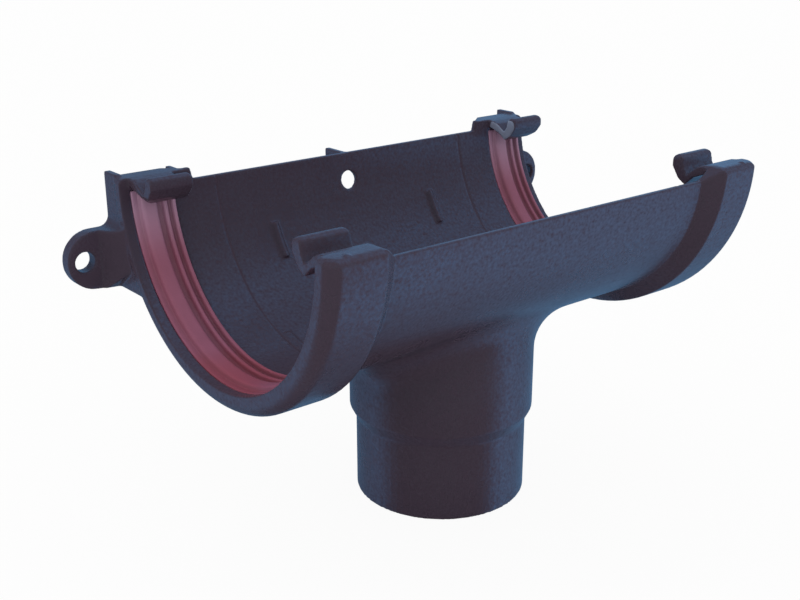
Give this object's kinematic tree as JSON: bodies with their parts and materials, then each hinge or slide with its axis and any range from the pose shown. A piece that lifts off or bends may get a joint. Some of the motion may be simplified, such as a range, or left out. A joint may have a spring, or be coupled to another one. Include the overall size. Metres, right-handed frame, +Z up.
{
  "type": "gutter running outlet",
  "caption": "Half-round gutter running outlet: a trough section with sealed clip-in sockets at both ends, a round downpipe spigot below and screw ears behind.",
  "frame": {"origin": "on the spigot's axis, in the plane of its lower rim", "axes": "+X along the gutter, +Y towards the fascia board, +Z up, out of the open trough"},
  "size_m": [0.243, 0.1434, 0.1331],
  "materials": {
    "body_plastic": "dark semi-gloss moulded plastic with a fine cast-look texture",
    "seal_rubber": "soft satin maroon rubber"
  },
  "bodies": {
    "root": {"outlet_body": "body_plastic", "left_seal": "seal_rubber", "right_seal": "seal_rubber"}
  },
  "joints": []
}
